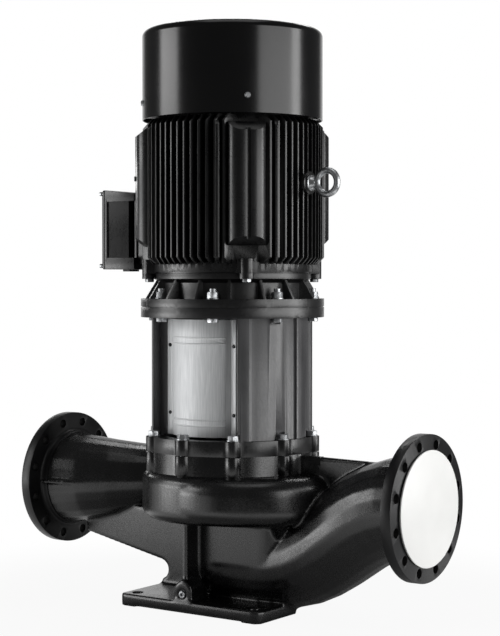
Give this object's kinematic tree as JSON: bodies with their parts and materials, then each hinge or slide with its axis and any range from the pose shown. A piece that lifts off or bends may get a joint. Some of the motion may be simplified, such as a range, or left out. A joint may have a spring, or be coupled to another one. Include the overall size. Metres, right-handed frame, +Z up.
{
  "type": "in-line circulation pump",
  "caption": "In-line circulation pump with flanged pipe ends, split shaft coupling behind sheet guards and a vertical flange motor with cooling fins",
  "frame": {"origin": "on the shaft axis, at the underside of the foot plate", "axes": "+Z up along the shaft axis, +X along the pipe axis out of the suction flange, -Y towards the guarded window and the drain plug"},
  "size_m": [1.1044, 0.47, 1.408],
  "materials": {
    "cast_black": "satin",
    "motor_black": "satin",
    "cowl_black": "gloss",
    "cast_grey": "as cast",
    "bronze": "machined",
    "gasket": "matt",
    "ceramic": "fine ground",
    "zinc": "zinc plated",
    "guard_steel": "satin",
    "dark_screw": "blackened",
    "lamination": "stacked sheet",
    "winding": "varnished",
    "cage_alu": "die cast",
    "race": "ground",
    "shaft_steel": "turned",
    "block": "moulded",
    "brass": "turned",
    "plug": "moulded",
    "fan_plastic": "moulded",
    "seal_carbon": "lapped",
    "cover_white": "smooth moulded"
  },
  "bodies": {
    "base": {"volute_casing": "cast_black", "wear_ring": "bronze", "casing_gasket": "gasket", "seal_housing": "cast_grey", "seal_seat": "ceramic", "cover_bolts": "zinc", "drain_plug": "zinc", "lantern": "cast_black", "front_guard": "guard_steel", "rear_guard": "guard_steel", "guard_screws": "dark_screw", "drive_end_shield": "cast_black", "motor_bolts": "zinc", "motor_nuts": "zinc", "drive_shield_bolts": "zinc", "motor_frame": "motor_black", "stator_core": "lamination", "stator_windings": "winding", "rear_end_shield": "cast_black", "rear_shield_bolts": "zinc", "drive_bearing_outer": "race", "rear_bearing_outer": "race", "bearing_cap": "cast_grey", "fan_cowl": "cowl_black", "cowl_screws": "zinc", "terminal_box": "cast_black", "box_gasket": "gasket", "box_lid": "cast_black", "lid_screws": "zinc", "terminal_block": "block", "terminal_studs": "brass", "blanking_plugs": "plug", "eye_bolt": "zinc", "earth_screw": "dark_screw"},
    "rotor": {"motor_shaft": "shaft_steel", "rotor_core": "lamination", "rotor_cage": "cage_alu", "drive_bearing_inner": "race", "rear_bearing_inner": "race", "drive_bearing_balls": "race", "rear_bearing_balls": "race", "motor_key": "shaft_steel", "cooling_fan": "fan_plastic", "fan_ring": "dark_screw", "coupling_front": "shaft_steel", "coupling_rear": "shaft_steel", "coupling_screws": "dark_screw", "pump_shaft": "shaft_steel", "pump_key": "shaft_steel", "impeller": "bronze", "impeller_nut": "zinc", "seal_head": "seal_carbon", "seal_spring": "shaft_steel"},
    "cover": {"flange_cover": "cover_white"}
  },
  "joints": [
    {"name": "shaft", "type": "hinge", "parent": "base", "child": "rotor", "pos_m": [0, 0, 0.3], "axis": [0, 0, 1], "continuous": true},
    {"name": "cover_slide", "type": "slide", "parent": "base", "child": "cover", "axis": [1, 0, 0], "range_m": [0, 0.05]}
  ]
}
